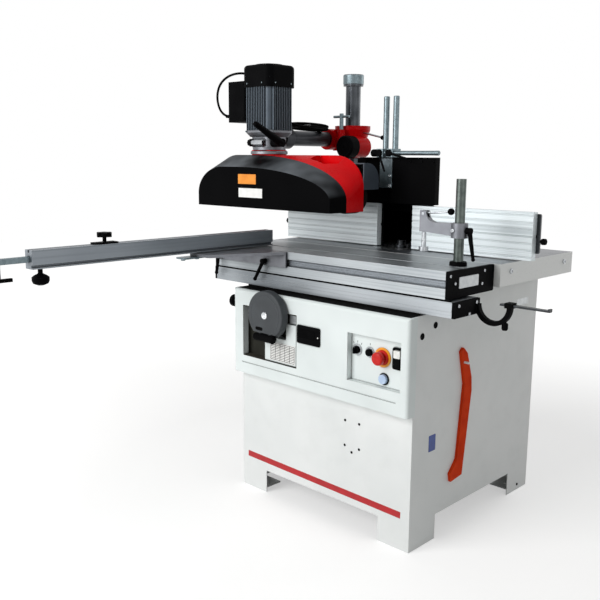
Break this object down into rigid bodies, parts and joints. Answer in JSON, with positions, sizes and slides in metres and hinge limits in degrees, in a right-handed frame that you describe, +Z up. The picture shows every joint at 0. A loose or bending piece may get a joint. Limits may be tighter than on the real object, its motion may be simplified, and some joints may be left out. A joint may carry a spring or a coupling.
{
  "type": "spindle moulder",
  "caption": "Spindle moulder with a cast table, adjustable fence under a chip hood, sliding carriage with crosscut fence and clamp, and a power feeder on a column.",
  "frame": {"origin": "floor level, in the middle of the four floor anchor holes", "axes": "+Z up, +Y from the operator's side to the back, +X to the operator's right along the carriage"},
  "size_m": [1.473, 1.718, 1.553],
  "materials": {
    "cabinet_paint": "warm white satin powder coat",
    "fascia_plastic": "moulded, fine grain",
    "well_plastic": "dark grey moulding",
    "ground_iron": "ground top",
    "machined_steel": "turned",
    "galvanised_steel": "zinc plated",
    "column_steel": "dark ground bar",
    "anodised_aluminium": "natural anodised extrusion",
    "hood_paint": "satin black paint",
    "black_plastic": "glass-filled nylon",
    "wheel_plastic": "moulded handwheel",
    "drive_iron": "as cast, painted",
    "belt_rubber": "ribbed belt",
    "feeder_red": "glossy red enamel",
    "feeder_black": "satin black",
    "feeder_grey": "grey enamel",
    "motor_grey": "blue-grey painted die casting",
    "gearbox_alloy": "bare die casting",
    "wheel_rubber": "soft tread",
    "lead_rubber": "black sheath",
    "stop_red": "gloss",
    "reset_blue": "gloss",
    "start_white": "gloss",
    "stick_orange": "moulded"
  },
  "bodies": {
    "base": {"cabinet_body": "cabinet_paint", "control_fascia": "fascia_plastic", "handwheel_well": "well_plastic", "table": "ground_iron", "table_rings": "machined_steel", "carriage_rail": "anodised_aluminium", "rail_fittings": "black_plastic", "lift_guide": "drive_iron", "fence_hood": "hood_paint", "hood_posts": "galvanised_steel", "feeder_column": "column_steel"},
    "spindle_slide": {"spindle_quill": "drive_iron", "main_motor": "drive_iron", "drive_belt": "belt_rubber"},
    "spindle": {"spindle_shaft": "machined_steel"},
    "motor_rotor": {"motor_pulley": "machined_steel"},
    "lift_screw": {"lift_screw": "machined_steel"},
    "handwheel": {"handwheel": "wheel_plastic"},
    "handwheel_grip": {"handwheel_grip": "black_plastic"},
    "lock_knob": {"lock_knob": "black_plastic"},
    "selector": {"selector_switch": "black_plastic"},
    "jog_button": {"jog_button": "black_plastic"},
    "emergency_stop": {"emergency_stop": "stop_red"},
    "start_button": {"start_button": "start_white"},
    "stop_button": {"stop_button": "black_plastic"},
    "reset_button": {"reset_button": "reset_blue"},
    "push_stick": {"push_stick": "stick_orange"},
    "stop_bar": {"stop_bar": "galvanised_steel"},
    "fence_left": {"fence_plate_left": "anodised_aluminium"},
    "fence_right": {"fence_plate_right": "anodised_aluminium"},
    "presser_rod": {"presser_rod": "galvanised_steel"},
    "carriage": {"carriage_beam": "anodised_aluminium", "carriage_fittings": "black_plastic", "outrigger": "anodised_aluminium", "clamp_post": "column_steel"},
    "clamp_arm": {"clamp_arm": "gearbox_alloy"},
    "clamp_lever": {"clamp_lever": "black_plastic"},
    "clamp_handle": {"clamp_handle": "machined_steel"},
    "clamp_pad": {"clamp_pad": "machined_steel"},
    "crosscut_fence": {"crosscut_fence": "anodised_aluminium"},
    "crosscut_stop": {"crosscut_stop": "black_plastic"},
    "fence_extension": {"fence_extension": "galvanised_steel"},
    "flip_stop": {"flip_stop": "black_plastic"},
    "stand_head": {"stand_head": "feeder_red"},
    "lift_crank": {"lift_crank": "machined_steel"},
    "feeder_arm": {"feeder_arm": "gearbox_alloy", "feeder_gearbox": "gearbox_alloy", "feeder_motor": "motor_grey", "motor_covers": "black_plastic", "cord_run": "lead_rubber", "cord_coil": "lead_rubber", "cord_plug": "lead_rubber"},
    "tilt_lever": {"tilt_lever": "black_plastic"},
    "feeder_head": {"feeder_front_cover": "feeder_black", "feeder_body": "feeder_red", "feeder_wheel_guard": "feeder_grey"},
    "feed_wheel_1": {"feeder_wheel_1": "wheel_rubber"},
    "feed_wheel_2": {"feeder_wheel_2": "wheel_rubber"},
    "feed_wheel_3": {"feeder_wheel_3": "wheel_rubber"},
    "feed_wheel_4": {"feeder_wheel_4": "wheel_rubber"}
  },
  "joints": [
    {"name": "spindle_lift", "type": "slide", "parent": "base", "child": "spindle_slide", "axis": [0, 0, 1], "range_m": [0, 0.13]},
    {"name": "spindle_spin", "type": "hinge", "parent": "spindle_slide", "child": "spindle", "pos_m": [0, 0.06, 0.7], "axis": [0, 0, 1], "continuous": true},
    {"name": "motor_spin", "type": "hinge", "parent": "spindle_slide", "child": "motor_rotor", "pos_m": [0, 0.23, 0.6], "axis": [0, 0, 1], "continuous": true},
    {"name": "lift_screw_turn", "type": "hinge", "parent": "base", "child": "lift_screw", "pos_m": [-0.191, 0.06, 0.6], "axis": [0, 0, 1], "range_deg": [-2340, 0]},
    {"name": "handwheel_turn", "type": "hinge", "parent": "base", "child": "handwheel", "pos_m": [-0.191, -0.43, 0.687], "axis": [0, 1, 0], "range_deg": [-2340, 0]},
    {"name": "grip_fold", "type": "hinge", "parent": "handwheel", "child": "handwheel_grip", "pos_m": [-0.151, -0.448, 0.609], "axis": [0, 0, 1], "range_deg": [0, 90]},
    {"name": "lock_knob_turn", "type": "hinge", "parent": "base", "child": "lock_knob", "pos_m": [-0.4, -0.39833, 0.707], "axis": [1, 0, 0], "range_deg": [-90, 90]},
    {"name": "selector_turn", "type": "hinge", "parent": "base", "child": "selector", "pos_m": [0.176, -0.4, 0.624], "axis": [0, 1, 0], "range_deg": [-45, 45]},
    {"name": "jog_press", "type": "slide", "parent": "base", "child": "jog_button", "axis": [0, 1, 0], "range_m": [0, 0.004], "stiffness_N_per_m": 400},
    {"name": "emergency_press", "type": "slide", "parent": "base", "child": "emergency_stop", "axis": [0, 1, 0], "range_m": [0, 0.006], "stiffness_N_per_m": 400},
    {"name": "start_press", "type": "slide", "parent": "base", "child": "start_button", "axis": [0, 1, 0], "range_m": [0, 0.004], "stiffness_N_per_m": 400},
    {"name": "stop_press", "type": "slide", "parent": "base", "child": "stop_button", "axis": [0, 1, 0], "range_m": [0, 0.004], "stiffness_N_per_m": 400},
    {"name": "reset_press", "type": "slide", "parent": "base", "child": "reset_button", "axis": [0, 1, 0], "range_m": [0, 0.004], "stiffness_N_per_m": 400},
    {"name": "stick_pull_off", "type": "slide", "parent": "base", "child": "push_stick", "axis": [1, 0, 0], "range_m": [0, 0.03]},
    {"name": "stop_bar_slide", "type": "slide", "parent": "base", "child": "stop_bar", "axis": [1, 0, 0], "range_m": [-0.03, 0.02]},
    {"name": "fence_left_slide", "type": "slide", "parent": "base", "child": "fence_left", "axis": [1, 0, 0], "range_m": [-0.03, 0.05]},
    {"name": "fence_right_slide", "type": "slide", "parent": "base", "child": "fence_right", "axis": [1, 0, 0], "range_m": [-0.05, 0.03]},
    {"name": "presser_rod_slide", "type": "slide", "parent": "base", "child": "presser_rod", "axis": [1, 0, 0], "range_m": [-0.05, 0.05]},
    {"name": "carriage_slide", "type": "slide", "parent": "base", "child": "carriage", "axis": [1, 0, 0], "range_m": [-0.2, 0.4]},
    {"name": "clamp_arm_slide", "type": "slide", "parent": "carriage", "child": "clamp_arm", "axis": [0, 0, 1], "range_m": [-0.015, 0.1]},
    {"name": "clamp_lever_turn", "type": "hinge", "parent": "clamp_arm", "child": "clamp_lever", "pos_m": [0.455, -0.219, 1.0065], "axis": [1, 0, 0], "range_deg": [-90, 90]},
    {"name": "clamp_handle_turn", "type": "hinge", "parent": "clamp_arm", "child": "clamp_handle", "pos_m": [0.295, -0.219, 1.051], "axis": [0, -1, 0], "range_deg": [0, 100]},
    {"name": "clamp_pad_press", "type": "slide", "parent": "clamp_arm", "child": "clamp_pad", "axis": [0, 0, -1], "range_m": [0, 0.012]},
    {"name": "crosscut_swivel", "type": "hinge", "parent": "carriage", "child": "crosscut_fence", "pos_m": [-0.365, -0.43, 0.9], "axis": [0, 0, 1], "range_deg": [-45, 45]},
    {"name": "crosscut_stop_slide", "type": "slide", "parent": "crosscut_fence", "child": "crosscut_stop", "axis": [0, 1, 0], "range_m": [-0.2, 0.5]},
    {"name": "extension_slide", "type": "slide", "parent": "crosscut_fence", "child": "fence_extension", "axis": [0, 1, 0], "range_m": [-0.1, 0.055]},
    {"name": "flip_stop_turn", "type": "hinge", "parent": "fence_extension", "child": "flip_stop", "pos_m": [-0.365, -1.3, 0.9313], "axis": [0, -1, 0], "range_deg": [0, 100]},
    {"name": "head_lift", "type": "slide", "parent": "base", "child": "stand_head", "axis": [0, 0, 1], "range_m": [-0.03, 0.12]},
    {"name": "lift_crank_turn", "type": "hinge", "parent": "stand_head", "child": "lift_crank", "pos_m": [-0.385, 0.158, 1.35], "axis": [0, 0, 1], "range_deg": [-1080, 4320]},
    {"name": "arm_slide", "type": "slide", "parent": "stand_head", "child": "feeder_arm", "axis": [0, 1, 0], "range_m": [-0.1, 0.02]},
    {"name": "feeder_swivel", "type": "hinge", "parent": "feeder_arm", "child": "feeder_head", "pos_m": [-0.46, -0.168, 1.24], "axis": [0, 0, 1], "range_deg": [-15, 0]},
    {"name": "tilt_lever_turn", "type": "hinge", "parent": "feeder_arm", "child": "tilt_lever", "pos_m": [-0.38, -0.198, 1.272], "axis": [1, 0, 0], "range_deg": [-30, 15]},
    {"name": "feed_wheel_1_spin", "type": "hinge", "parent": "feeder_head", "child": "feed_wheel_1", "pos_m": [-0.64, -0.085, 1.083], "axis": [0, 1, 0], "continuous": true},
    {"name": "feed_wheel_2_spin", "type": "hinge", "parent": "feeder_head", "child": "feed_wheel_2", "pos_m": [-0.47, -0.085, 1.083], "axis": [0, 1, 0], "continuous": true},
    {"name": "feed_wheel_3_spin", "type": "hinge", "parent": "feeder_head", "child": "feed_wheel_3", "pos_m": [-0.3, -0.085, 1.083], "axis": [0, 1, 0], "continuous": true},
    {"name": "feed_wheel_4_spin", "type": "hinge", "parent": "feeder_head", "child": "feed_wheel_4", "pos_m": [-0.13, -0.085, 1.083], "axis": [0, 1, 0], "continuous": true}
  ],
  "couplings": [
    {"joint": "lift_screw_turn", "follows": "spindle_lift", "rad_per_m": -314.16},
    {"joint": "handwheel_turn", "follows": "spindle_lift", "rad_per_m": -314.16},
    {"joint": "motor_spin", "follows": "spindle_spin", "ratio": 0.73333},
    {"joint": "clamp_pad_press", "follows": "clamp_handle_turn", "m_per_rad": 0.0068755},
    {"joint": "lift_crank_turn", "follows": "head_lift", "rad_per_m": 628.32},
    {"joint": "feed_wheel_2_spin", "follows": "feed_wheel_1_spin", "ratio": 1},
    {"joint": "feed_wheel_3_spin", "follows": "feed_wheel_1_spin", "ratio": 1},
    {"joint": "feed_wheel_4_spin", "follows": "feed_wheel_1_spin", "ratio": 1}
  ]
}
